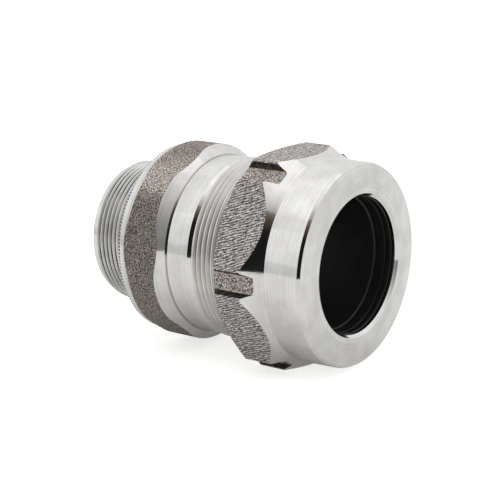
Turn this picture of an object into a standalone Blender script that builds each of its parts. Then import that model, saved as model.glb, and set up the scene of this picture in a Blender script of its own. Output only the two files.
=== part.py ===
# Cable gland for metal-clad cable: a threaded body, a hexagon gland nut, and the seal and earthing pieces inside.
# The script works in millimetres and scales to metres. X runs along the gland from the hub thread to the mouth,
# Z is up, and the origin is on the axis at the shoulder that seats against the enclosure.
import math

import bmesh
import bpy

MM = 0.001
SIDES = 36
MERGE_DISTANCE = 0.00001

# Clearances
GAP = 0.3
THREAD_CLEARANCE = 0.6
SLIDING_CLEARANCE = 0.5

# Threads: crest radii, pitches, and the radius that the hub gains per length
HUB_CREST = 29.7
HUB_PITCH = 25.4 / 11.5
HUB_TAPER = 1 / 32
GLAND_CREST = 37.2
GLAND_PITCH = 25.4 / 11
END_CHAMFER = 0.6

# Body: lengths run on from the shoulder, and a rise, drop or setback is from one radius to the next
HUB_LENGTH = 23.9
HUB_RELIEF = 2.0
HUB_NECK_RISE = 0.3
HUB_WALL = 2.9
SHOULDER_WIDTH = 3.3
SHOULDER_SETBACK = 0.2
SHOULDER_CONE_SLOPE = 0.63
BODY_FLAT_RISE = 2.6
BODY_CORNER_RISE = 1.7
BODY_TURN = 51.0
HEX_LENGTH = 18.9
HEX_CONE_LENGTH = 5.0
BARREL_DROP = 0.4
BARREL_LENGTH = 10.1
BARREL_EDGE = 0.5
BARREL_EDGE_LENGTH = 1.4
THREAD_LENGTH = 32.0
MOUTH_WALL = 2.15
ARMOUR_SETBACK = 0.6
SEAT_RISE = 4.3
SEAT_SLOPE = 0.54

# Nut, at the place where it stands when its inner pieces are snug
NUT_ENGAGEMENT = 14.4
NUT_WALL = 4.5
NUT_CORNER_RISE = 3.5
NUT_BACK_SETBACK = 0.3
NUT_TURN = 30.0
NOTCH_HALF_ANGLE = 6.6
NOTCH_FLOOR_HALF_ANGLE = 4.4
NOTCH_DEPTH = 2.9
COLLAR_SETOUT = 22.8
COLLAR_LENGTH = 14.6
COLLAR_WALL = 3.0
FRONT_CONE_SLOPE = 0.58
BACK_CONE_SLOPE = 1.36
RIM_CHAMFER = 1.0
RIM_DROP = 1.4
RIM_LENGTH = 2.0
FACE_SETBACK = 5.3
MOUTH_RADIUS = 27.4
LIP_WIDTH = 2.5
LIP_CHAMFER = 1.8
LIP_CHAMFER_RISE = 1.1
CHAMBER_SHELF = 0.9
CHAMBER_SPARE = 1.5

# Pieces between the nut and the body, and how far they go when the nut is tightened
NUT_TRAVEL_IN = 5.8
SEAT_TRAVEL_IN = 2.4
SLIP_RING_WIDTH = 2.5
SLIP_RING_INSET = 0.3
BUSHING_LENGTH = 32.0
BUSHING_LIP_INSET = 0.4
BUSHING_INSET = 1.0
BUSHING_LIP_LENGTH = 4.6
BUSHING_LIP_CHAMFER = 0.5
BUSHING_FLANGE_LENGTH = 8.0
BUSHING_TAPER = 2.0
WASHER_WIDTH = 3.2
WASHER_BAND = 5.3
RING_LAND = 4.2
RING_INSET = 1.1
RING_TIP_WALL = 1.4
RING_BAND_WIDTH = 2.4
RING_FINGERS = 12
RING_SLOT = 1.6
STOP_WIDTH = 3.2
STOP_INSET = 1.0

# Radii worked out from the sizes above
HUB_DEPTH = 0.6 * HUB_PITCH
HUB_ROOT = HUB_CREST - HUB_DEPTH
HUB_NECK = HUB_CREST + HUB_TAPER * HUB_LENGTH + HUB_NECK_RISE
HUB_BORE = HUB_ROOT - HUB_WALL
GLAND_DEPTH = 0.54 * GLAND_PITCH
GLAND_ROOT = GLAND_CREST - GLAND_DEPTH
BARREL_RADIUS = GLAND_CREST - BARREL_DROP
BODY_FLAT = BARREL_RADIUS + BODY_FLAT_RISE
BODY_CORNER = BODY_FLAT + BODY_CORNER_RISE
SHOULDER_RADIUS = BODY_FLAT - SHOULDER_SETBACK
BODY_MOUTH_BORE = GLAND_ROOT - MOUTH_WALL
ARMOUR_BORE = BODY_MOUTH_BORE - SEAT_RISE
SLIDING_RADIUS = BODY_MOUTH_BORE - SLIDING_CLEARANCE
NUT_ROOT = GLAND_CREST + THREAD_CLEARANCE
NUT_FLAT = NUT_ROOT + NUT_WALL
NUT_CORNER = NUT_FLAT + NUT_CORNER_RISE
COLLAR_RADIUS = NUT_ROOT + COLLAR_WALL
CHAMBER_RADIUS = NUT_ROOT - CHAMBER_SHELF
CHAMBER_SLIDING_RADIUS = CHAMBER_RADIUS - SLIDING_CLEARANCE
RING_BORE = ARMOUR_BORE - RING_INSET

# Places along X worked out from the sizes above
BARREL_START = HEX_LENGTH + HEX_CONE_LENGTH
THREAD_START = BARREL_START + BARREL_LENGTH
BODY_END = THREAD_START + THREAD_LENGTH
NUT_BACK = BODY_END - NUT_ENGAGEMENT
COLLAR_START = NUT_BACK + COLLAR_SETOUT
COLLAR_END = COLLAR_START + COLLAR_LENGTH
MOUTH_FACE = COLLAR_END + RIM_LENGTH
LIP_FACE = MOUTH_FACE - LIP_WIDTH
CHAMBER_START = BODY_END + NUT_TRAVEL_IN + CHAMBER_SPARE
SLIP_RING_FRONT = LIP_FACE - GAP
BUSHING_FRONT = SLIP_RING_FRONT - SLIP_RING_WIDTH - GAP
BUSHING_BACK = BUSHING_FRONT - BUSHING_LENGTH
WASHER_FRONT = BUSHING_BACK - GAP
WASHER_BACK = WASHER_FRONT - WASHER_WIDTH
RING_FRONT = WASHER_BACK - GAP
RING_TAPER_START = RING_FRONT - RING_LAND
SEAT_END = RING_TAPER_START - SEAT_TRAVEL_IN + (SLIDING_CLEARANCE - GAP) / SEAT_SLOPE
SEAT_START = SEAT_END - SEAT_RISE / SEAT_SLOPE
ARMOUR_STEP = BARREL_START + ARMOUR_SETBACK


def polar(radius, degrees):
    angle = math.radians(degrees)
    return radius * math.cos(angle) * MM, radius * math.sin(angle) * MM


def ring(mesh, x, radius):
    points = []
    for side in range(SIDES):
        points.append(mesh.verts.new((x * MM, *polar(radius, 360 * side / SIDES))))
    return points


def join_rings(mesh, first, second):
    for side in range(SIDES):
        after = (side + 1) % SIDES
        mesh.faces.new((first[side], first[after], second[after], second[side]))


def helix(mesh, start, end, pitch, rise):
    # A right-hand thread between two points of a profile: rows of root and crest climb half a pitch at a time,
    # held between the two ends, where the thread fades out. Rows count from x = 0, so that threads of one pitch
    # mesh: an outside thread rises on the odd rows and an inside thread, with a negative rise, on the even ones.
    (first_x, first_radius), (last_x, last_radius) = sorted((start, end))
    length = last_x - first_x
    fade = 0.75 * pitch
    first_turn = math.floor(first_x / pitch) - 1
    raised = 1 if rise > 0 else 0

    def place(side, row):
        x = pitch * (first_turn + row / 2 + side / SIDES)
        x = min(max(x, first_x), last_x)
        radius = first_radius + (last_radius - first_radius) * (x - first_x) / length
        if row % 2 == raised:
            radius += rise * min(1, (x - first_x) / fade, (last_x - x) / fade)
        return mesh.verts.new((x * MM, *polar(radius, 360 * side / SIDES)))

    rows = math.ceil(2 * (length + 2 * pitch) / pitch)
    grid = []
    for row in range(rows + 4):
        grid.append([place(side, row) for side in range(SIDES)])
    for row in range(rows + 1):
        for side in range(SIDES):
            if side + 1 < SIDES:
                after, shift = side + 1, 0
            else:
                after, shift = 0, 2
            near, far = grid[row + shift][after], grid[row + shift + 1][after]
            mesh.faces.new((grid[row][side], near, far, grid[row + 1][side]))


def turned(profile, threads=()):
    # Turns a closed profile of (x, radius) points about X. A run listed in threads carries a helix.
    threads = dict(threads)
    mesh = bmesh.new()
    for index, point in enumerate(profile):
        following = profile[(index + 1) % len(profile)]
        if index in threads:
            pitch, rise = threads[index]
            helix(mesh, point, following, pitch, rise)
        else:
            join_rings(mesh, ring(mesh, *point), ring(mesh, *following))
    bmesh.ops.remove_doubles(mesh, verts=mesh.verts, dist=MERGE_DISTANCE)
    bmesh.ops.recalc_face_normals(mesh, faces=mesh.faces)
    return mesh


def prism(outline, start, end):
    # An outline of (radius, degrees) points about X, drawn out from start to end
    mesh = bmesh.new()
    corners = [mesh.verts.new((start * MM, *polar(radius, degrees))) for radius, degrees in outline]
    face = mesh.faces.new(corners)
    drawn = bmesh.ops.extrude_face_region(mesh, geom=[face])
    moved = [item for item in drawn["geom"] if isinstance(item, bmesh.types.BMVert)]
    bmesh.ops.translate(mesh, verts=moved, vec=((end - start) * MM, 0, 0))
    bmesh.ops.recalc_face_normals(mesh, faces=mesh.faces)
    return mesh


def material(name, colour, roughness, metallic):
    made = bpy.data.materials.new(name)
    made.use_nodes = True
    shader = made.node_tree.nodes["Principled BSDF"]
    shader.inputs["Base Color"].default_value = (*colour, 1)
    shader.inputs["Roughness"].default_value = roughness
    shader.inputs["Metallic"].default_value = metallic
    return made


def piece(name, mesh, look=None):
    data = bpy.data.meshes.new(name)
    mesh.to_mesh(data)
    mesh.free()
    data.shade_smooth()
    data.set_sharp_from_angle(angle=math.radians(25))
    if look:
        data.materials.append(look)
    made = bpy.data.objects.new(name, data)
    bpy.context.scene.collection.objects.link(made)
    return made


def cut(target, tool_name, tool_mesh, operation):
    tool = piece(tool_name, tool_mesh)
    tool.hide_render = True
    tool.display_type = "WIRE"
    change = target.modifiers.new(tool_name, "BOOLEAN")
    change.operation = operation
    change.object = tool


def gland_body():
    profile = [
        (-HUB_LENGTH, HUB_ROOT - END_CHAMFER),
        (-HUB_LENGTH + END_CHAMFER, HUB_ROOT),
        (-HUB_RELIEF, HUB_ROOT + HUB_TAPER * (HUB_LENGTH - END_CHAMFER - HUB_RELIEF)),
        (-HUB_RELIEF / 2, HUB_NECK),
        (0, HUB_NECK),
        (0, SHOULDER_RADIUS),
        (SHOULDER_WIDTH, SHOULDER_RADIUS),
        (SHOULDER_WIDTH + (BODY_CORNER - SHOULDER_RADIUS) / SHOULDER_CONE_SLOPE, BODY_CORNER),
        (HEX_LENGTH, BODY_CORNER),
        (HEX_LENGTH + BODY_CORNER_RISE, BODY_FLAT),
        (BARREL_START - BARREL_EDGE_LENGTH, BARREL_RADIUS + BARREL_EDGE),
        (BARREL_START, BARREL_RADIUS),
        (THREAD_START, BARREL_RADIUS),
        (THREAD_START + BARREL_RADIUS - GLAND_ROOT, GLAND_ROOT),
        (BODY_END - END_CHAMFER, GLAND_ROOT),
        (BODY_END, GLAND_ROOT - END_CHAMFER),
        (BODY_END, BODY_MOUTH_BORE),
        (SEAT_END, BODY_MOUTH_BORE),
        (SEAT_START, ARMOUR_BORE),
        (ARMOUR_STEP, ARMOUR_BORE),
        (ARMOUR_STEP, HUB_BORE),
        (-HUB_LENGTH, HUB_BORE),
    ]
    threads = {1: (HUB_PITCH, HUB_DEPTH), 13: (GLAND_PITCH, GLAND_DEPTH)}
    cast = material("cast_aluminium", (0.42, 0.40, 0.38), 0.45, 1.0)
    body = piece("gland_body", turned(profile, threads), cast)
    corner = BODY_FLAT / math.cos(math.radians(30))
    outline = [(corner, BODY_TURN + 30 + 60 * side) for side in range(6)]
    cut(body, "body_hexagon", prism(outline, -2 * HUB_LENGTH, 2 * BODY_END), "INTERSECT")


def gland_nut():
    back_radius = NUT_FLAT - NUT_BACK_SETBACK
    profile = [
        (NUT_BACK, NUT_ROOT + RIM_CHAMFER),
        (NUT_BACK, back_radius),
        (NUT_BACK + (NUT_CORNER - back_radius) / BACK_CONE_SLOPE, NUT_CORNER),
        (COLLAR_START - (NUT_CORNER - COLLAR_RADIUS) / FRONT_CONE_SLOPE, NUT_CORNER),
        (COLLAR_START, COLLAR_RADIUS),
        (COLLAR_END, COLLAR_RADIUS),
        (COLLAR_END + RIM_CHAMFER, COLLAR_RADIUS - RIM_DROP),
        (MOUTH_FACE, COLLAR_RADIUS - FACE_SETBACK),
        (MOUTH_FACE, MOUTH_RADIUS + LIP_CHAMFER_RISE),
        (MOUTH_FACE - LIP_CHAMFER, MOUTH_RADIUS),
        (LIP_FACE, MOUTH_RADIUS),
        (LIP_FACE, CHAMBER_RADIUS),
        (CHAMBER_START, CHAMBER_RADIUS),
        (CHAMBER_START, NUT_ROOT),
        (NUT_BACK + RIM_CHAMFER, NUT_ROOT),
    ]
    cast = material("cast_aluminium_nut", (0.50, 0.48, 0.46), 0.40, 1.0)
    nut = piece("gland_nut", turned(profile, {13: (GLAND_PITCH, -GLAND_DEPTH)}), cast)
    edge = NUT_FLAT / math.cos(math.radians(30 - NOTCH_HALF_ANGLE))
    floor = NUT_CORNER - NOTCH_DEPTH
    outline = []
    for side in range(6):
        corner = NUT_TURN + 30 + 60 * side
        outline.append((edge, corner - NOTCH_HALF_ANGLE))
        outline.append((floor, corner - NOTCH_FLOOR_HALF_ANGLE))
        outline.append((floor, corner + NOTCH_FLOOR_HALF_ANGLE))
        outline.append((edge, corner + NOTCH_HALF_ANGLE))
    cut(nut, "nut_notched_hexagon", prism(outline, 0, 2 * MOUTH_FACE), "INTERSECT")


def slip_ring():
    back = SLIP_RING_FRONT - SLIP_RING_WIDTH
    bore = MOUTH_RADIUS - SLIP_RING_INSET
    profile = [
        (back, bore),
        (back, CHAMBER_SLIDING_RADIUS),
        (SLIP_RING_FRONT, CHAMBER_SLIDING_RADIUS),
        (SLIP_RING_FRONT, bore),
    ]
    piece("slip_ring", turned(profile), material("black_acetal", (0.02, 0.02, 0.02), 0.4, 0.0))


def sealing_bushing():
    flange_back = BUSHING_FRONT - BUSHING_FLANGE_LENGTH
    lip_end = BUSHING_FRONT - BUSHING_LIP_LENGTH
    bore = MOUTH_RADIUS - BUSHING_INSET
    lip_bore = MOUTH_RADIUS - BUSHING_LIP_INSET
    profile = [
        (BUSHING_BACK, bore),
        (BUSHING_BACK, SLIDING_RADIUS - BUSHING_TAPER / 2),
        (BUSHING_BACK + BUSHING_TAPER, SLIDING_RADIUS),
        (flange_back, SLIDING_RADIUS),
        (flange_back, CHAMBER_SLIDING_RADIUS),
        (BUSHING_FRONT, CHAMBER_SLIDING_RADIUS),
        (BUSHING_FRONT, lip_bore),
        (lip_end, lip_bore),
        (lip_end - BUSHING_LIP_CHAMFER, bore),
    ]
    piece("sealing_bushing", turned(profile), material("black_neoprene", (0.015, 0.015, 0.016), 0.6, 0.0))


def compression_washer():
    bore = SLIDING_RADIUS - WASHER_BAND
    profile = [
        (WASHER_BACK, bore),
        (WASHER_BACK, SLIDING_RADIUS),
        (WASHER_FRONT, SLIDING_RADIUS),
        (WASHER_FRONT, bore),
    ]
    piece("compression_washer", turned(profile), material("zinc_steel", (0.55, 0.55, 0.54), 0.35, 1.0))


def grounding_ring():
    # A band with tapered fingers that ride down the body's conical seat as the nut is tightened
    tip_radius = RING_BORE + RING_TIP_WALL
    tip = RING_TAPER_START - (SLIDING_RADIUS - tip_radius) / SEAT_SLOPE
    profile = [
        (tip, RING_BORE),
        (tip, tip_radius),
        (RING_TAPER_START, SLIDING_RADIUS),
        (RING_FRONT, SLIDING_RADIUS),
        (RING_FRONT, RING_BORE),
    ]
    steel = material("stainless_steel", (0.60, 0.60, 0.60), 0.25, 1.0)
    fingers = piece("grounding_ring", turned(profile), steel)
    slots = bmesh.new()
    ends = (tip - RING_SLOT, RING_FRONT - RING_BAND_WIDTH)
    reaches = (RING_BORE - RING_SLOT, SLIDING_RADIUS + RING_SLOT)
    for finger in range(RING_FINGERS):
        angle = 2 * math.pi * (finger + 0.5) / RING_FINGERS
        corners = []
        for x in ends:
            for reach in reaches:
                for side in (-RING_SLOT / 2, RING_SLOT / 2):
                    y = reach * math.cos(angle) - side * math.sin(angle)
                    z = reach * math.sin(angle) + side * math.cos(angle)
                    corners.append(slots.verts.new((x * MM, y * MM, z * MM)))
        for face in ((0, 1, 3, 2), (4, 6, 7, 5), (0, 4, 5, 1), (2, 3, 7, 6), (0, 2, 6, 4), (1, 5, 7, 3)):
            slots.faces.new([corners[corner] for corner in face])
    bmesh.ops.recalc_face_normals(slots, faces=slots.faces)
    cut(fingers, "finger_slots", slots, "DIFFERENCE")


def end_stop():
    back = ARMOUR_STEP + GAP
    front = back + STOP_WIDTH
    outer = ARMOUR_BORE - GAP
    bore = HUB_BORE - STOP_INSET
    profile = [(back, bore), (back, outer), (front, outer), (front, bore)]
    piece("end_stop", turned(profile), material("grey_pvc", (0.35, 0.35, 0.36), 0.5, 0.0))


for old in list(bpy.data.objects):
    bpy.data.objects.remove(old)

gland_body()
gland_nut()
slip_ring()
sealing_bushing()
compression_washer()
grounding_ring()
end_stop()
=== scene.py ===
import bpy
import math
from mathutils import Matrix, Vector


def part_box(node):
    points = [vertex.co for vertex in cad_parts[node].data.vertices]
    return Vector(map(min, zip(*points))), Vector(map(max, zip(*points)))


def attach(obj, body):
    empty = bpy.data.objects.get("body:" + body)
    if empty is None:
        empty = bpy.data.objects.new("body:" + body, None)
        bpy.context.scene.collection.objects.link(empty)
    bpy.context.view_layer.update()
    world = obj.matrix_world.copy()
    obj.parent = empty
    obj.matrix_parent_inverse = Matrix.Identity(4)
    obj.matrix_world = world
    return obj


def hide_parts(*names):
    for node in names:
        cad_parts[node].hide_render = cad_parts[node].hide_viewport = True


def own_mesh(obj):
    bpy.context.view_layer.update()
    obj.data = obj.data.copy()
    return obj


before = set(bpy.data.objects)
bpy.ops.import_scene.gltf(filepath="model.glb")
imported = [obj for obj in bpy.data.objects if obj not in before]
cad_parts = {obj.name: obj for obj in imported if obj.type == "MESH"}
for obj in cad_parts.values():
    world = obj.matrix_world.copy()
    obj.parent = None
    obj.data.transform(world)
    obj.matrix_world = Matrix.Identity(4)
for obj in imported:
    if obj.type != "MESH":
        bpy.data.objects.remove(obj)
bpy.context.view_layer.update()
mm = 0.001
weld = 0.002 * mm     # vertices closer than this are merged
print("frame loaded:", ", ".join(sorted(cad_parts)))


# Camera, room and table

camera = {
    "place": (0.3964, -0.4692, 0.1668),
    "right": (0.7995, 0.5990, -0.0360),
    "up": (-0.1357, 0.2391, 0.9607),
    "lens": 108,
    "sensor": 36,
    "shift": -0.002,
    "nearest": 0.01,
}


def addCamera():
    data = bpy.data.cameras.new("photoCamera")
    data.lens = camera["lens"]
    data.sensor_width = camera["sensor"]
    data.shift_y = camera["shift"]
    data.clip_start = camera["nearest"]
    eye = bpy.data.objects.new("photoCamera", data)
    bpy.context.scene.collection.objects.link(eye)
    right = Vector(camera["right"]).normalized()
    back = right.cross(Vector(camera["up"])).normalized()
    up = back.cross(right)
    turn = Matrix((right, up, back)).transposed().to_4x4()
    eye.matrix_world = Matrix.Translation(camera["place"]) @ turn
    bpy.context.scene.camera = eye


def linear(hexText):
    # sRGB hex to the linear colour that shaders take
    out = []
    for start in (1, 3, 5):
        value = int(hexText[start:start + 2], 16) / 255
        out.append(value / 12.92 if value <= 0.04045 else ((value + 0.055) / 1.055) ** 2.4)
    return (*out, 1)


def addNode(tree, kind, settings=None, **inputs):
    # one node with its settings; an input given a socket is linked, and one given a value is set
    node = tree.nodes.new(kind)
    for key, value in (settings or {}).items():
        setattr(node, key, value)
    for key, value in inputs.items():
        numbered = key[0] == "n" and key[1:].isdigit()
        socket = node.inputs[int(key[1:])] if numbered else node.inputs[key.replace("_", " ")]
        if isinstance(value, bpy.types.NodeSocket):
            tree.links.new(value, socket)
        else:
            socket.default_value = value
    return node


def addMath(tree, operation, *values):
    numbered = {f"n{index}": value for index, value in enumerate(values)}
    return addNode(tree, "ShaderNodeMath", {"operation": operation}, **numbered).outputs[0]


def addNoise(tree, place, sizeMm, detail, roughness):
    # noise whose grains are about this many millimetres across
    node = addNode(tree, "ShaderNodeTexNoise", {"noise_dimensions": "3D"}, Vector=place,
                   Scale=1 / (sizeMm * mm), Detail=detail, Roughness=roughness)
    return node.outputs["Fac"]


def addFade(tree, value, low, high, **ends):
    # a soft step from 0 to 1, or between the ends that are given
    node = addNode(tree, "ShaderNodeMapRange", {"interpolation_type": "SMOOTHSTEP"}, Value=value,
                   From_Min=low, From_Max=high, **ends)
    return node.outputs[0]


def addRamp(tree, value, stops):
    node = addNode(tree, "ShaderNodeValToRGB", Fac=value)
    elements = node.color_ramp.elements
    while len(elements) < len(stops):
        elements.new(0.5)
    for element, (place, colour) in zip(elements, stops):
        element.position = place
        element.color = colour
    return node.outputs[0]


# The metal mirrors this room. Azimuth is in degrees from straight in front (-Y) towards the mouth (+X).
room = {
    # azimuth, brightness of the walls, share of the unlit space behind the camera
    "walls": [(-180, 0.82, 0), (-104, 0.80, 0), (-88, 0.70, 0), (-16, 0.66, 0), (-6, 0.66, 1),
              (38, 0.66, 1), (45, 0.66, 0.68), (52, 0.66, 0.58), (62, 0.66, 0.40), (76, 0.70, 0.16),
              (90, 0.75, 0.03), (104, 0.80, 0), (180, 0.82, 0)],
    # elevation and colour of the unlit space, which warms and pales upwards
    "unlit": [(-90, "#1c1a1c"), (35, "#1c1b1c"), (39, "#3d362f"), (46, "#5a4c3d"),
              (53, "#817e77"), (61, "#acacac"), (70, "#dcdcdc")],
    "ceiling": 0.92,
    "ceilingFrom": (-4, 46),     # elevations between which the walls turn into the ceiling
}


def addRoom():
    world = bpy.data.worlds.new("lightTent")
    bpy.context.scene.world = world
    world.use_nodes = True
    tree = world.node_tree
    tree.nodes.clear()
    way = addNode(tree, "ShaderNodeTexCoord").outputs["Generated"]
    axes = addNode(tree, "ShaderNodeSeparateXYZ", n0=way)
    ahead = addMath(tree, "MULTIPLY", axes.outputs["Y"], -1.0)
    azimuth = addMath(tree, "ARCTAN2", axes.outputs["X"], ahead)
    height = addMath(tree, "ARCSINE", axes.outputs["Z"])
    turnShare = addMath(tree, "MULTIPLY_ADD", azimuth, 0.5 / math.pi, 0.5)
    riseShare = addMath(tree, "MULTIPLY_ADD", height, 1 / math.pi, 0.5)
    walls = addRamp(tree, turnShare, [((angle + 180) / 360, (tone, share, 0, 1))
                                      for angle, tone, share in room["walls"]])
    parts = addNode(tree, "ShaderNodeSeparateColor", n0=walls)
    unlit = addRamp(tree, riseShare, [((angle + 90) / 180, linear(colour))
                                      for angle, colour in room["unlit"]])
    low, high = (math.radians(angle) for angle in room["ceilingFrom"])
    upward = addFade(tree, height, low, high)
    pale = addNode(tree, "ShaderNodeMix", {"data_type": "FLOAT"}, n0=upward,
                   n2=parts.outputs["Red"], n3=room["ceiling"])
    colour = addNode(tree, "ShaderNodeMix", {"data_type": "RGBA"}, n0=parts.outputs["Green"],
                     n6=pale.outputs[0], n7=unlit)
    ray = addNode(tree, "ShaderNodeLightPath")
    tent = addNode(tree, "ShaderNodeBackground", Color=colour.outputs[2], Strength=1.0)
    white = addNode(tree, "ShaderNodeBackground", Color=(1, 1, 1, 1), Strength=1.0)
    pick = addNode(tree, "ShaderNodeMixShader", n0=ray.outputs["Is Camera Ray"],
                   n1=tent.outputs[0], n2=white.outputs[0])
    addNode(tree, "ShaderNodeOutputWorld", Surface=pick.outputs[0])


table = {
    "size": 5.0,
    "frontEdge": -0.62,      # the line where the mirrored table meets the unlit space
    "dropMm": 0.1,           # how far it lies under the nut
    "colour": "#f2f2f0",
    "roughness": 0.9,
    "specular": 0.1,
    "seenWhite": 0.7,        # added for the camera, so that the background is white
    "mirroredWhite": 0.105,  # added in what the metal mirrors
}


def addTable():
    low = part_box("gland_nut")[0].z
    middle = (0, table["frontEdge"] + table["size"] / 2, low - table["dropMm"] * mm)
    bpy.ops.object.select_all(action="DESELECT")
    bpy.ops.mesh.primitive_plane_add(size=table["size"], location=middle)
    plane = bpy.context.object
    plane.name = "tableTop"
    paper = bpy.data.materials.new("whitePaper")
    paper.use_nodes = True
    tree = paper.node_tree
    shader = tree.nodes["Principled BSDF"]
    shader.inputs["Base Color"].default_value = linear(table["colour"])
    shader.inputs["Roughness"].default_value = table["roughness"]
    shader.inputs["Specular IOR Level"].default_value = table["specular"]
    ray = addNode(tree, "ShaderNodeLightPath")
    seen = addMath(tree, "MULTIPLY", ray.outputs["Is Camera Ray"], table["seenWhite"])
    mirrored = addMath(tree, "MAXIMUM", ray.outputs["Is Glossy Ray"], ray.outputs["Is Transmission Ray"])
    lift = addMath(tree, "MULTIPLY_ADD", mirrored, table["mirroredWhite"], seen)
    shader.inputs["Emission Color"].default_value = (1, 1, 1, 1)
    tree.links.new(lift, shader.inputs["Emission Strength"])
    plane.data.materials.append(paper)


lamps = [
    {"name": "overheadBox", "place": (0.03, -0.02, 0.75), "aim": (0.03, 0, 0), "size": 0.9,
     "watts": 0.5},
    {"name": "leftBox", "place": (-0.50, -0.66, 0.34), "aim": (0.03, 0, 0), "size": 0.5,
     "watts": 0.08},
]


def addLamps():
    for lamp in lamps:
        data = bpy.data.lights.new(lamp["name"], "AREA")
        data.shape = "SQUARE"
        data.size = lamp["size"]
        data.energy = lamp["watts"]
        made = bpy.data.objects.new(lamp["name"], data)
        bpy.context.scene.collection.objects.link(made)
        made.location = lamp["place"]
        made.rotation_mode = "QUATERNION"
        toward = Vector(lamp["aim"]) - Vector(lamp["place"])
        made.rotation_quaternion = toward.to_track_quat("-Z", "Y")


addCamera()
addRoom()
addTable()
addLamps()
bpy.context.scene.view_settings.view_transform = "Standard"
print("room ready")


# Materials

def newMaterial(name):
    made = bpy.data.materials.new(name)
    made.use_nodes = True
    return made, made.node_tree, made.node_tree.nodes["Principled BSDF"]


def latheCoordinates(tree):
    # place, distance along the axis, distance from it, angle round it, and the way a lathe tool ran
    place = addNode(tree, "ShaderNodeTexCoord").outputs["Object"]
    axes = addNode(tree, "ShaderNodeSeparateXYZ", n0=place)
    flat = addNode(tree, "ShaderNodeCombineXYZ", Y=axes.outputs["Y"], Z=axes.outputs["Z"])
    radius = addNode(tree, "ShaderNodeVectorMath", {"operation": "LENGTH"}, n0=flat.outputs[0])
    angle = addMath(tree, "ARCTAN2", axes.outputs["Z"], axes.outputs["Y"])
    down = addMath(tree, "MULTIPLY", axes.outputs["Z"], -1.0)
    around = addNode(tree, "ShaderNodeCombineXYZ", Y=down, Z=axes.outputs["Y"])
    toWorld = {"vector_type": "VECTOR", "convert_from": "OBJECT", "convert_to": "WORLD"}
    way = addNode(tree, "ShaderNodeVectorTransform", toWorld, n0=around.outputs[0])
    return {"place": place, "along": axes.outputs["X"], "radius": radius.outputs["Value"],
            "angle": angle, "way": way.outputs[0]}


def heightShare(tree, place, stops):
    # a share that changes with height above the axis, from stops of (height in millimetres, share)
    span = 50
    axes = addNode(tree, "ShaderNodeSeparateXYZ", n0=place)
    rise = addMath(tree, "MULTIPLY_ADD", axes.outputs["Z"], 0.5 / (span * mm), 0.5)
    return addRamp(tree, rise, [(0.5 + 0.5 * height / span, (part, part, part, 1))
                                for height, part in stops])


turnedFinish = {
    "bright": "#efeeec",
    "dull": "#d3d2d0",
    "toneRange": (0.36, 0.62),     # of the noise
    "glossRange": (0.36, 0.64),
    "feedMm": 0.55,                # tool marks; a real feed of 0.15 mm is too fine to show
    "markDepthMm": 0.04,
    "markStrength": 0.22,
    "blotchMm": 9.0,
    "spread": 0.6,
    "spreadTurn": 0.25,
}


def paintedShadeTone(tree, lathe, tone, paintedShade):
    # painted shade darkens roots, gaps and corners, and fades out between two shares of their depth
    taper = paintedShade.get("taper", 0)
    base = addMath(tree, "MULTIPLY_ADD", lathe["along"], taper,
                   (paintedShade["root"] - taper * paintedShade.get("start", 0)) * mm)
    rise = addMath(tree, "SUBTRACT", lathe["radius"], base)
    low, high = (share * paintedShade["depth"] * mm for share in paintedShade["dark"])
    unshaded = addFade(tree, rise, low, high)
    # a painted lighter band, by height, lifts the painted shade
    if "paintedLightByHeight" in paintedShade:
        unshaded = addMath(tree, "MAXIMUM", unshaded, heightShare(tree, lathe["place"], paintedShade["paintedLightByHeight"]))
    if "tips" in paintedShade:
        low, high = (x * mm for x in paintedShade["tips"])
        tips = addFade(tree, lathe["along"], low, high, To_Min=1.0, To_Max=0.0)
        unshaded = addMath(tree, "MAXIMUM", unshaded, tips)
    shaded = addNode(tree, "ShaderNodeMix", {"data_type": "RGBA"}, n0=unshaded,
                     n6=linear(paintedShade["colour"]), n7=tone)
    return shaded.outputs[2]


def turnedAluminium(name, roughness, paintedShade=None):
    # turned aluminium: bright, with fine rings round the axis that spread its highlights along it,
    # and dark painted shade where some is given
    made, tree, shader = newMaterial(name)
    look = turnedFinish
    lathe = latheCoordinates(tree)
    rings = addNode(tree, "ShaderNodeCombineXYZ", X=lathe["along"], Y=lathe["radius"])
    marks = addNoise(tree, rings.outputs[0], look["feedMm"], 3.0, 0.6)
    blotch = addNoise(tree, lathe["place"], look["blotchMm"], 4.0, 0.55)
    mixed = addNode(tree, "ShaderNodeMix", {"data_type": "FLOAT"}, n0=0.5,
                    n2=marks, n3=blotch).outputs[0]
    low, high = look["toneRange"]
    tone = addRamp(tree, mixed, [(low, linear(look["dull"])), (high, linear(look["bright"]))])
    if paintedShade:
        tone = paintedShadeTone(tree, lathe, tone, paintedShade)
    low, high = look["glossRange"]
    gloss = addNode(tree, "ShaderNodeMapRange", Value=mixed, From_Min=low, From_Max=high,
                    To_Min=roughness[1], To_Max=roughness[0])
    bump = addNode(tree, "ShaderNodeBump", Strength=look["markStrength"],
                   Distance=look["markDepthMm"] * mm, Height=marks)
    shader.inputs["Metallic"].default_value = 1.0
    shader.inputs["Anisotropic"].default_value = look["spread"]
    shader.inputs["Anisotropic Rotation"].default_value = look["spreadTurn"]
    tree.links.new(tone, shader.inputs["Base Color"])
    tree.links.new(gloss.outputs[0], shader.inputs["Roughness"])
    tree.links.new(bump.outputs[0], shader.inputs["Normal"])
    tree.links.new(lathe["way"], shader.inputs["Tangent"])
    return made


# what cast skins share; each skin gives its colours and what differs
castFinish = {
    "lean": 0.0,         # slope of the drag marks
    "stretch": 0.4,      # below 1 draws the marks out along the axis
    "dragMm": 0.9,
    "dragShare": 0.5,
    "grainMm": 0.7,
    "rowShare": 0.0,
    "reliefMm": 0.2,
    "reliefStrength": 0.85,
    "contrast": 0.08,    # of the noise, from the middle colour to the dark or light one
    "metallic": 0.5,
    "roughness": 0.6,
}


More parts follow.
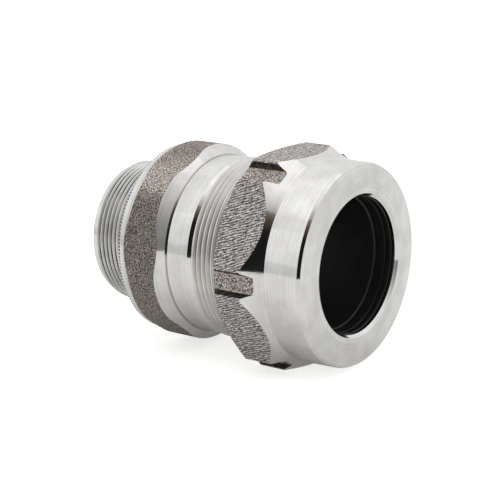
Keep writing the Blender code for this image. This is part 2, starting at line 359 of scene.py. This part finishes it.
def castAluminium(name, skin):
    # aluminium as it leaves the mould: a dull grey-brown skin with a gritty grain,
    # and drag marks along the pull
    made, tree, shader = newMaterial(name)
    look = {**castFinish, **skin}
    lathe = latheCoordinates(tree)
    across = addMath(tree, "MULTIPLY", lathe["angle"], look["meanRadiusMm"] * mm)
    lean = addMath(tree, "MULTIPLY_ADD", lathe["along"], look["lean"], across)
    pulled = addMath(tree, "MULTIPLY", lathe["along"], look["stretch"])
    dragWay = addNode(tree, "ShaderNodeCombineXYZ", X=pulled, Y=lean).outputs[0]
    drag = addNoise(tree, dragWay, look["dragMm"], 3.0, 0.65)
    grain = addNoise(tree, lathe["place"], look["grainMm"], 3.0, 0.7)
    height = addNode(tree, "ShaderNodeMix", {"data_type": "FLOAT"}, n0=look["dragShare"],
                     n2=grain, n3=drag).outputs[0]
    if look["rowShare"]:
        # the wave node draws one band in each 2 pi / 20 of its scaled length
        rows = addNode(tree, "ShaderNodeTexWave", {"wave_type": "BANDS", "bands_direction": "Y"},
                       Vector=dragWay, Scale=math.pi / 10 / (look["rowMm"] * mm), Distortion=5.0,
                       Detail=2.0, Detail_Scale=2.0)
        height = addNode(tree, "ShaderNodeMix", {"data_type": "FLOAT"}, n0=look["rowShare"],
                         n2=height, n3=rows.outputs["Fac"]).outputs[0]
    tone = addRamp(tree, height, [(0.5 - look["contrast"], linear(look["dark"])),
                                  (0.5, linear(look["middle"])),
                                  (0.5 + look["contrast"], linear(look["light"]))])
    if "pale" in look:
        # painted light: the skin is paler where it turns upwards
        share = heightShare(tree, lathe["place"], look["pale"])
        paler = addNode(tree, "ShaderNodeMix", {"data_type": "RGBA", "blend_type": "DODGE"}, n0=share,
                        n6=tone, n7=(1, 1, 1, 1))
        tone = paler.outputs[2]
    bump = addNode(tree, "ShaderNodeBump", Strength=look["reliefStrength"],
                   Distance=look["reliefMm"] * mm, Height=height)
    shader.inputs["Metallic"].default_value = look["metallic"]
    shader.inputs["Roughness"].default_value = look["roughness"]
    tree.links.new(tone, shader.inputs["Base Color"])
    tree.links.new(bump.outputs[0], shader.inputs["Normal"])
    return made


ringGrain = {"range": (0.3, 0.7), "strength": 0.3}     # range of the noise, and strength of its relief


def plainFinish(name, look):
    # moulded or plated ring: one colour with a fine grain in tone, gloss and relief
    made, tree, shader = newMaterial(name)
    place = addNode(tree, "ShaderNodeTexCoord").outputs["Object"]
    grain = addNoise(tree, place, look["grainMm"], 4.0, 0.6)
    low, high = ringGrain["range"]
    tone = addRamp(tree, grain, [(low, linear(look["dark"])), (high, linear(look["light"]))])
    gloss = addNode(tree, "ShaderNodeMapRange", Value=grain, From_Min=low, From_Max=high,
                    To_Min=look["roughness"][0], To_Max=look["roughness"][1])
    bump = addNode(tree, "ShaderNodeBump", Strength=ringGrain["strength"],
                   Distance=look["reliefMm"] * mm, Height=grain)
    shader.inputs["Metallic"].default_value = look["metallic"]
    tree.links.new(tone, shader.inputs["Base Color"])
    tree.links.new(gloss.outputs[0], shader.inputs["Roughness"])
    tree.links.new(bump.outputs[0], shader.inputs["Normal"])
    return made


bright = turnedAluminium("turnedAluminium", (0.06, 0.13))


# Modelling helpers

def pickOnly(piece):
    bpy.ops.object.select_all(action="DESELECT")
    piece.select_set(True)
    bpy.context.view_layer.objects.active = piece


def editMode(piece):
    pickOnly(piece)
    bpy.ops.object.mode_set(mode="EDIT")
    bpy.ops.mesh.select_all(action="SELECT")


def objectMode():
    bpy.ops.object.mode_set(mode="OBJECT")


def loopOf(name, points):
    # a circle of edges whose vertices are set on a closed outline of points, in millimetres
    bpy.ops.object.select_all(action="DESELECT")
    bpy.ops.mesh.primitive_circle_add(vertices=len(points), radius=mm, fill_type="NOTHING")
    piece = bpy.context.object
    piece.name = name
    piece.data.name = name
    for vertex, point in zip(piece.data.vertices, points):
        vertex.co = Vector(point) * mm
    return piece


def spun(name, profile, steps=192):
    # turns a closed profile of (x, radius) once round the axis
    piece = loopOf(name, [(x, radius, 0) for x, radius in profile])
    editMode(piece)
    bpy.ops.mesh.spin(steps=steps, angle=2 * math.pi, center=(0, 0, 0), axis=(1, 0, 0))
    bpy.ops.mesh.select_all(action="SELECT")
    bpy.ops.mesh.remove_doubles(threshold=weld)
    bpy.ops.mesh.normals_make_consistent(inside=False)
    objectMode()
    return piece


def drawnOut(name, outline, start, end):
    # an outline of (y, z) points drawn out along the axis
    piece = loopOf(name, [(start, y, z) for y, z in outline])
    editMode(piece)
    bpy.ops.mesh.edge_face_add()
    bpy.ops.mesh.extrude_region_move(TRANSFORM_OT_translate={"value": ((end - start) * mm, 0, 0)})
    bpy.ops.mesh.select_all(action="SELECT")
    bpy.ops.mesh.normals_make_consistent(inside=False)
    objectMode()
    return piece


def roundLongEdges(piece, width, kind, segments, inner=0, outer=math.inf):
    # rounds the edges that run along the axis between two distances from it
    editMode(piece)
    bpy.ops.mesh.select_mode(type="EDGE")
    bpy.ops.mesh.select_all(action="DESELECT")
    objectMode()
    for edge in piece.data.edges:
        one, other = (piece.data.vertices[index].co for index in edge.vertices)
        away = math.hypot(one.y, one.z) / mm
        edge.select = abs(one.x - other.x) > mm and inner < away < outer
    bpy.ops.object.mode_set(mode="EDIT")
    bpy.ops.mesh.bevel(offset=width * mm, offset_type=kind, segments=segments, profile=0.5,
                       affect="EDGES")
    bpy.ops.mesh.select_mode(type="VERT")
    objectMode()


def carved(piece, tool, operation):
    # the cut faces keep the tool's material, so cast and turned surfaces stay apart
    change = piece.modifiers.new("carve", "BOOLEAN")
    change.operation = operation
    change.object = tool
    change.material_mode = "TRANSFER"
    pickOnly(piece)
    bpy.ops.object.modifier_apply(modifier=change.name)
    bpy.data.objects.remove(tool)


def smooth(piece, degrees=16):
    pickOnly(piece)
    bpy.ops.object.shade_smooth_by_angle(angle=math.radians(degrees))


def arc(x, radius, size, start, end, count=6):
    # points round (x, radius) in a profile, angles in degrees from +x towards a larger radius
    points = []
    for step in range(count + 1):
        angle = math.radians(start + (end - start) * step / count)
        points.append((x + size * math.cos(angle), radius + size * math.sin(angle)))
    return points


def polarPoint(radius, degrees):
    return radius * math.cos(math.radians(degrees)), radius * math.sin(math.radians(degrees))


# Threads, in millimetres: a negative depth is an inside thread. Painted shade in the roots is dark up to
# the first share of the depth and gone at the second, and a painted lighter band lifts it by a share
# that goes with height above the axis.

threads = {
    "hubThread": {"pitch": 25.4 / 11.5, "depth": 1.32, "root": 28.37, "start": -23.3, "end": -1.6,
                  "taper": 1 / 32, "colour": "#18202b", "dark": (0.36, 0.66),
                  "paintedLightByHeight": [(-3, 0), (3, 0.65), (18, 0.85), (23, 0)]},
    "glandThread": {"pitch": 25.4 / 11, "depth": 1.25, "root": 35.95, "start": 34.3, "end": 65.6,
                    "taper": 0.0, "colour": "#cdc9c5", "dark": (0.12, 0.62)},
    "nutThread": {"pitch": 25.4 / 11, "depth": -1.25, "root": 37.8, "start": 52.8, "end": 73.2,
                  "taper": 0.0},
}
# half widths of a ridge at its crest and foot, as shares of the pitch, and how far the foot sinks in
ridge = {"crest": 0.09, "foot": 0.49, "sink": 0.05, "steps": 96}
hubMetal = turnedAluminium("hubThreadAluminium", (0.24, 0.34), threads["hubThread"])
glandMetal = turnedAluminium("glandThreadAluminium", (0.28, 0.38), threads["glandThread"])


def threadRidge(name):
    # one ridge of a right-hand thread: its section is screwed along the axis, then faded at both ends
    thread = threads[name]
    pitch, depth, root = thread["pitch"], thread["depth"], thread["root"]
    outside = depth > 0
    foot = root - ridge["sink"] if outside else root + ridge["sink"]
    crest = ridge["crest"] * pitch
    half = ridge["foot"] * pitch
    # crests lie half a pitch on from x = 0 at angle zero, as on the solids, so that nut and body mesh
    first = (math.ceil(thread["start"] / pitch) + (0.5 if outside else 0.0)) * pitch
    piece = loopOf(name, [(first - half, foot, 0), (first - crest, root + depth, 0),
                          (first + crest, root + depth, 0), (first + half, foot, 0)])
    screw = piece.modifiers.new("screw", "SCREW")
    screw.axis = "X"
    screw.angle = 2 * math.pi
    screw.screw_offset = pitch * mm
    screw.iterations = math.ceil((thread["end"] - thread["start"]) / pitch)
    screw.steps = ridge["steps"]
    screw.render_steps = ridge["steps"]
    screw.merge_threshold = weld / 2
    pickOnly(piece)
    bpy.ops.object.modifier_apply(modifier="screw")
    for vertex in piece.data.vertices:
        x, y, z = (value / mm for value in vertex.co)
        away = math.hypot(y, z)
        held = min(1, max(0.0, min(x - thread["start"], thread["end"] - x) / pitch))
        x = min(max(x, thread["start"]), thread["end"])
        reach = foot + (away - foot) * held + thread["taper"] * (x - thread["start"])
        vertex.co = (x * mm, y / away * reach * mm, z / away * reach * mm)
    editMode(piece)
    bpy.ops.mesh.remove_doubles(threshold=weld)
    bpy.ops.mesh.dissolve_degenerate(threshold=weld)
    bpy.ops.mesh.select_all(action="DESELECT")
    bpy.ops.mesh.select_non_manifold(extend=False, use_wire=False, use_multi_face=False,
                                     use_non_contiguous=False)
    bpy.ops.mesh.edge_face_add()
    bpy.ops.mesh.select_all(action="SELECT")
    bpy.ops.mesh.normals_make_consistent(inside=False)
    objectMode()
    smooth(piece)
    return piece


# Body: one casting, turned where it seats, seals and takes the nut

body = {
    "hubEnd": -23.9, "hubChamfer": 0.7, "hubRoot": 28.37, "hubTop": 29.04, "hubTopEnd": -2.0,
    "hubBore": 25.47, "boreChamfer": 1.0, "neck": 30.75, "neckStart": -1.0,
    "back": 0.05, "toothedFrom": 36.05, "toothedTo": 38.6, "toothFloor": 0.75,
    "rim": 39.2, "rimFoot": 39.0, "rimStart": 1.25, "rimWidth": 3.0,
    "flat": 39.4, "cornerRound": 27.0, "roundSteps": 16, "turn": 51.0, "toolReach": 10.0,
    "blank": 44.0, "backCone": 0.63, "frontCone": 0.95, "frontStart": 20.65,
    "step": 22.95, "stepRadius": 37.21, "barrel": 36.8, "barrelStart": 24.0,
    "threadStart": 34.0, "threadLead": 1.5, "root": 35.95, "end": 66.0, "endChamfer": 0.8,
    "mouthBore": 33.8, "mouthChamfer": 0.3, "seatEnd": 43.37, "seatStart": 35.41,
    "armourBore": 29.5, "armourStep": 24.5,
}
bodySkin = {"dark": "#2d2926", "middle": "#776f69", "light": "#c8bfb6", "meanRadiusMm": 40,
            "stretch": 0.8, "grainMm": 0.45, "dragShare": 0.1,
            # pale: painted light, the skin lighter by height towards the top of the body
            "pale": [(24, 0), (29, 0.56), (34, 0.50), (39, 0.24), (42, 0.1)]}
# a darker ring of the turned metal, painted as shade in the step's corner
stepCornerShade = {"root": 36.8, "depth": 0.41, "dark": (0.5, 1.0), "colour": "#a9a6a3"}
bodyCast = castAluminium("castAluminiumBody", bodySkin)
stepShadeMetal = turnedAluminium("turnedAluminiumCornerShade", (0.12, 0.2), stepCornerShade)


def makeBody():
    b = body
    profile = [
        (b["hubEnd"], b["hubRoot"] - b["hubChamfer"]),
        (b["hubEnd"] + b["hubChamfer"], b["hubRoot"]),
        (b["hubTopEnd"], b["hubTop"]),
        (b["neckStart"], b["neck"]),
        (b["back"], b["neck"]),
        (b["back"], b["toothedFrom"]),
        (b["toothFloor"], b["toothedFrom"]),
        (b["toothFloor"], b["toothedTo"]),
        (b["rimStart"], b["rimFoot"]),
        (b["rimStart"], b["rim"]),
        (b["rimWidth"], b["rim"]),
        (b["rimWidth"] + (b["blank"] - b["rim"]) / b["backCone"], b["blank"]),
        (b["frontStart"] - (b["blank"] - b["flat"]) / b["frontCone"], b["blank"]),
        (b["frontStart"], b["flat"]),
        (b["step"], b["stepRadius"]),
        (b["barrelStart"], b["barrel"]),
        (b["threadStart"], b["barrel"]),
        (b["threadStart"] + b["threadLead"], b["root"]),
        (b["end"] - b["endChamfer"], b["root"]),
        (b["end"], b["root"] - b["endChamfer"]),
        (b["end"], b["mouthBore"] + b["mouthChamfer"]),
        (b["end"] - b["mouthChamfer"], b["mouthBore"]),
        (b["seatEnd"], b["mouthBore"]),
        (b["seatStart"], b["armourBore"]),
        (b["armourStep"], b["armourBore"]),
        (b["armourStep"], b["hubBore"]),
        (b["hubEnd"] + b["boreChamfer"], b["hubBore"]),
        (b["hubEnd"], b["hubBore"] + b["boreChamfer"]),
    ]
    shell = spun("bodyCasting", profile)
    shell.data.materials.append(bright)
    shell.data.materials.append(stepShadeMetal)
    for face in shell.data.polygons:
        # painted shade in the corner between the cone and the barrel
        outside = math.hypot(face.center.y, face.center.z) > b["root"] * mm
        if outside and b["step"] * mm < face.center.x < b["barrelStart"] * mm:
            face.material_index = 1
    corner = b["flat"] / math.cos(math.radians(30))
    outline = [polarPoint(corner, b["turn"] + 30 + 60 * side) for side in range(6)]
    tool = drawnOut("hexTool", outline, b["hubEnd"] - b["toolReach"], b["end"] + b["toolReach"])
    # the setback from a 120 degree corner that gives a fillet of this radius
    setback = b["cornerRound"] * math.tan(math.radians(30))
    roundLongEdges(tool, setback, "OFFSET", b["roundSteps"])
    tool.data.materials.append(bodyCast)
    carved(shell, tool, "INTERSECT")
    smooth(shell)
    return shell


serration = {"teeth": 174, "depth": 1.1, "width": 1.9, "inner": 36.0, "gap": 38.3}
# painted shade in the gaps, which begins between these two distances behind the tips of the teeth
toothGapShade = {"root": 38.3, "depth": 0.9, "dark": (0.65, 0.92), "tips": (0.1, 0.3), "colour": "#101317"}
toothShadeMetal = turnedAluminium("serratedAluminiumGapShade", (0.12, 0.22), toothGapShade)


def makeSerratedRim():
    # fine radial teeth on the back of the shoulder, which bite into the enclosure
    s = serration
    bpy.ops.object.select_all(action="DESELECT")
    bpy.ops.mesh.primitive_circle_add(vertices=2 * s["teeth"], radius=body["rim"] * mm,
                                      fill_type="NOTHING", rotation=(0, math.pi / 2, 0))
    rim = bpy.context.object
    rim.name = "serratedRim"
    rim.data.name = "serratedRim"
    bpy.ops.object.transform_apply(location=True, rotation=True, scale=True)
    editMode(rim)
    bpy.ops.mesh.extrude_edges_move(TRANSFORM_OT_translate={"value": (s["width"] * mm, 0, 0)})
    objectMode()
    backEdge = [vertex for vertex in rim.data.vertices if vertex.co.x < 0.5 * s["width"] * mm]
    for vertex in rim.data.vertices:
        vertex.select = False
    share = s["gap"] / body["rim"]
    for index, vertex in enumerate(backEdge):
        vertex.select = True
        if index % 2:
            vertex.co = (s["depth"] * mm, vertex.co.y * share, vertex.co.z * share)
    bpy.ops.object.mode_set(mode="EDIT")
    bpy.ops.mesh.select_mode(type="EDGE")
    bpy.ops.mesh.select_mode(type="VERT")
    bpy.ops.mesh.extrude_edges_move()
    share = s["inner"] / body["rim"]
    bpy.ops.transform.resize(value=(1, share, share), center_override=(0, 0, 0))
    bpy.ops.mesh.extrude_edges_move(TRANSFORM_OT_translate={"value": (s["width"] * mm, 0, 0)})
    bpy.ops.mesh.select_all(action="SELECT")
    bpy.ops.mesh.normals_make_consistent(inside=False)
    objectMode()
    rim.data.materials.append(toothShadeMetal)
    return rim


# Nut: cast hexagon with a notch at each corner, turned in front

nut = {
    "back": 51.6, "flat": 42.3, "turn": 30.0, "toolReach": 10.0,
    "notchHalf": 6.6, "floorHalf": 4.4, "notchFloor": 42.9,      # angles from the corner, and a radius
    "footHalf": 0.4, "wallMargin": 0.3,
    "floorRound": 0.5, "floorSteps": 4, "edgeRound": 1.5, "edgeSteps": 6, "roundSplit": 44.5,
    "blank": 47.0, "backFlat": 42.0, "backCone": 1.36, "frontCone": 0.58,
    "collar": 40.8, "collarStart": 74.4, "collarEnd": 89.0, "collarFront": 40.5,
    "rim": 39.85, "rimEnd": 90.25, "rimEdge": (0.06, 0.18),
    "face": 91.0, "faceRadius": 35.5, "faceEdge": (0.06, 0.25),
    "mouthFront": 28.5, "mouthRound": 0.35, "mouthInset": 0.2, "mouthTurn": -58,
    "mouth": 27.4, "mouthStart": 89.75, "lip": 88.5, "lipChamfer": 0.2,
    "chamber": 36.9, "chamberStart": 73.3, "root": 37.8, "threadLead": (1.2, 1.4),
}
nutSkin = {"dark": "#2e2928", "middle": "#a39b99", "light": "#fffbf8", "meanRadiusMm": 44, "lean": 0.40,
           "stretch": 0.35, "dragMm": 0.62, "grainMm": 0.5, "rowMm": 1.1, "rowShare": 0.1}
# the notches' floors have a pale grit, their walls carry painted shade, and a painted highlight line
# lies between
floorSkin = {"dark": "#2f2a27", "middle": "#aba39c", "light": "#fbf4ec", "meanRadiusMm": 43,
             "stretch": 1.0, "dragMm": 0.8, "grainMm": 0.5, "dragShare": 0.1}
wallShadeSkin = {"dark": "#100e0d", "middle": "#262120", "light": "#5a5049", "meanRadiusMm": 45}
footHighlightSkin = {"dark": "#8a7a68", "middle": "#cdbda8", "light": "#f6ead8", "meanRadiusMm": 43,
            "reliefMm": 0.1}
nutCast = castAluminium("castAluminiumNut", nutSkin)
notchFloor = castAluminium("castAluminiumNotchFloor", floorSkin)
notchWallShade = castAluminium("castAluminiumNotchWallShade", wallShadeSkin)
notchFootHighlight = castAluminium("castAluminiumNotchFootHighlight", footHighlightSkin)


def makeNut():
    n = nut
    rimDepth, rimDrop = n["rimEdge"]
    faceDepth, faceRise = n["faceEdge"]
    leadLength, leadRise = n["threadLead"]
    profile = [
        (n["back"], n["root"] + leadRise),
        (n["back"], n["backFlat"]),
        (n["back"] + (n["blank"] - n["backFlat"]) / n["backCone"], n["blank"]),
        (n["collarStart"] - (n["blank"] - n["collar"]) / n["frontCone"], n["blank"]),
        (n["collarStart"], n["collar"]),
        (n["collarEnd"], n["collarFront"]),
        (n["rimEnd"], n["rim"]),
        (n["rimEnd"] + rimDepth, n["rim"] - rimDrop),
        (n["face"] - faceDepth, n["faceRadius"] + faceRise),
        (n["face"], n["faceRadius"]),
    ]
    profile += arc(n["face"] - n["mouthRound"], n["mouthFront"] + n["mouthInset"], n["mouthRound"],
                   0, n["mouthTurn"])
    profile += [
        (n["mouthStart"], n["mouth"]),
        (n["lip"] + n["lipChamfer"], n["mouth"]),
        (n["lip"], n["mouth"] + n["lipChamfer"]),
        (n["lip"], n["chamber"]),
        (n["chamberStart"], n["chamber"]),
        (n["chamberStart"], n["root"]),
        (n["back"] + leadLength, n["root"]),
    ]
    shell = spun("nutCasting", profile)
    shell.data.materials.append(bright)
    edge = n["flat"] / math.cos(math.radians(30 - n["notchHalf"]))
    outline = []
    for side in range(6):
        corner = n["turn"] + 30 + 60 * side
        outline.append(polarPoint(edge, corner - n["notchHalf"]))
        outline.append(polarPoint(n["notchFloor"], corner - n["floorHalf"]))
        outline.append(polarPoint(n["notchFloor"], corner + n["floorHalf"]))
        outline.append(polarPoint(edge, corner + n["notchHalf"]))
    tool = drawnOut("notchedHexTool", outline, n["back"] - n["toolReach"], n["face"] + n["toolReach"])
    roundLongEdges(tool, n["floorRound"], "WIDTH", n["floorSteps"], outer=n["roundSplit"])
    roundLongEdges(tool, n["edgeRound"], "WIDTH", n["edgeSteps"], inner=n["roundSplit"])
    skins = [nutCast, notchFloor, notchWallShade, notchFootHighlight]
    for skin in skins:
        tool.data.materials.append(skin)
    for face in tool.data.polygons:
        # the angle between the face and the nearest corner
        away = abs((math.degrees(math.atan2(face.center.z, face.center.y)) - n["turn"]) % 60 - 30)
        if away < n["floorHalf"] - n["footHalf"]:
            face.material_index = skins.index(notchFloor)
        elif away < n["floorHalf"] + n["footHalf"]:
            # a painted highlight line where the floor meets the walls
            face.material_index = skins.index(notchFootHighlight)
        elif away < n["notchHalf"] - n["wallMargin"]:
            # the walls get the painted shade
            face.material_index = skins.index(notchWallShade)
    carved(shell, tool, "INTERSECT")
    smooth(shell)
    return shell


# Rings inside

ringFinishes = {
    "mouldedNeoprene": {"dark": "#070708", "light": "#0f0f10", "grainMm": 0.7, "roughness": (0.45, 0.6),
                        "reliefMm": 0.05, "metallic": 0.0},
    "blackAcetal": {"dark": "#08090a", "light": "#0f1011", "grainMm": 1.5, "roughness": (0.42, 0.52),
                    "reliefMm": 0.02, "metallic": 0.0},
    "zincPlatedSteel": {"dark": "#9b9c98", "light": "#c3c4c0", "grainMm": 2.5, "roughness": (0.28, 0.42),
                        "reliefMm": 0.02, "metallic": 1.0},
    "stainlessSteel": {"dark": "#a9a8a5", "light": "#cfcecb", "grainMm": 1.8, "roughness": (0.2, 0.32),
                       "reliefMm": 0.02, "metallic": 1.0},
    "greyPvc": {"dark": "#5f6062", "light": "#747577", "grainMm": 1.2, "roughness": (0.42, 0.55),
                "reliefMm": 0.03, "metallic": 0.0},
}
rings = {
    "slipRing": {"body": "pusher", "node": "slip_ring", "finish": "blackAcetal", "slot": "black_acetal",
                 "profile": [(85.7, 27.2), (85.8, 27.1), (87.9, 27.1), (88.2, 27.5), (88.2, 36.2),
                             (88.0, 36.4), (85.9, 36.4), (85.7, 36.2)]},
    # front is where it meets the slip ring, and keep is the share of its length that is left when tight
    "sealingBushing": {"body": "pusher", "node": "sealing_bushing", "finish": "mouldedNeoprene",
                       "slot": "black_neoprene", "front": 85.4, "keep": 0.892,
                       "profile": [(53.4, 26.8), (53.8, 26.4), (80.3, 26.4), (80.8, 27.0), (85.2, 27.0),
                                   (85.4, 27.2), (85.4, 35.8), (84.8, 36.4), (77.9, 36.4), (77.4, 35.9),
                                   (77.4, 33.3), (55.4, 33.3), (53.4, 32.3)]},
    "compressionWasher": {"body": "seat", "node": "compression_washer", "finish": "zincPlatedSteel",
                          "slot": "zinc_steel",
                          "profile": [(49.9, 28.4), (50.3, 28.0), (52.7, 28.0), (53.1, 28.4),
                                      (53.1, 32.9), (52.7, 33.3), (50.3, 33.3), (49.9, 32.9)]},
    "groundingRing": {"body": "seat", "node": "grounding_ring", "finish": "stainlessSteel",
                      "slot": "stainless_steel",
                      "profile": [(39.0, 28.6), (39.2, 28.4), (49.4, 28.4), (49.6, 28.6), (49.6, 33.1),
                                  (49.4, 33.3), (45.4, 33.3), (39.1, 29.9), (39.0, 29.7)]},
    "endStop": {"body": "body", "node": "end_stop", "finish": "greyPvc", "slot": "grey_pvc",
                "profile": [(24.8, 24.9), (25.2, 24.5), (27.6, 24.5), (28.0, 24.9), (28.0, 28.8),
                            (27.6, 29.2), (25.2, 29.2), (24.8, 28.8)]},
}
ringSteps = 160
fingers = {"count": 12, "slot": 1.6, "start": 37.3, "end": 47.2, "inner": 26.8, "outer": 35.0}
finishes = {name: plainFinish(name, look) for name, look in ringFinishes.items()}
print("materials ready:", len(bpy.data.materials))


def cutFingers(ring):
    # slots along the grounding ring leave fingers between them
    f = fingers
    for index in range(f["count"]):
        turn = 2 * math.pi * (index + 0.5) / f["count"]
        middle = (f["inner"] + f["outer"]) / 2 * mm
        place = ((f["start"] + f["end"]) / 2 * mm, middle * math.cos(turn), middle * math.sin(turn))
        size = ((f["end"] - f["start"]) * mm, (f["outer"] - f["inner"]) * mm, f["slot"] * mm)
        bpy.ops.object.select_all(action="DESELECT")
        bpy.ops.mesh.primitive_cube_add(size=1, rotation=(turn, 0, 0), location=place, scale=size)
        tool = bpy.context.object
        bpy.ops.object.transform_apply(location=True, rotation=True, scale=True)
        tool.data.materials.append(finishes["stainlessSteel"])
        carved(ring, tool, "DIFFERENCE")


def finishPiece(piece, bodyName, node=None):
    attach(piece, bodyName)
    if node:
        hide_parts(node)


finishPiece(makeBody(), "body", "gland_body")
finishPiece(makeSerratedRim(), "body")
print("body done")
for name, metal, bodyName, slotName in (("hubThread", hubMetal, "body", "cast_aluminium"),
                                        ("glandThread", glandMetal, "body", "cast_aluminium"),
                                        ("nutThread", bright, "nut", "cast_aluminium_nut")):
    screwed = threadRidge(name)
    screwed.data.materials.append(metal)
    finishPiece(screwed, bodyName)
print("threads done")
finishPiece(makeNut(), "nut", "gland_nut")
print("nut done")
for name, ring in rings.items():
    made = spun(name, ring["profile"], ringSteps)
    made.data.materials.append(finishes[ring["finish"]])
    if name == "groundingRing":
        cutFingers(made)
    smooth(made)
    finishPiece(made, ring["body"], ring["node"])
    if "keep" in ring:
        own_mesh(made)
print("inner rings done")
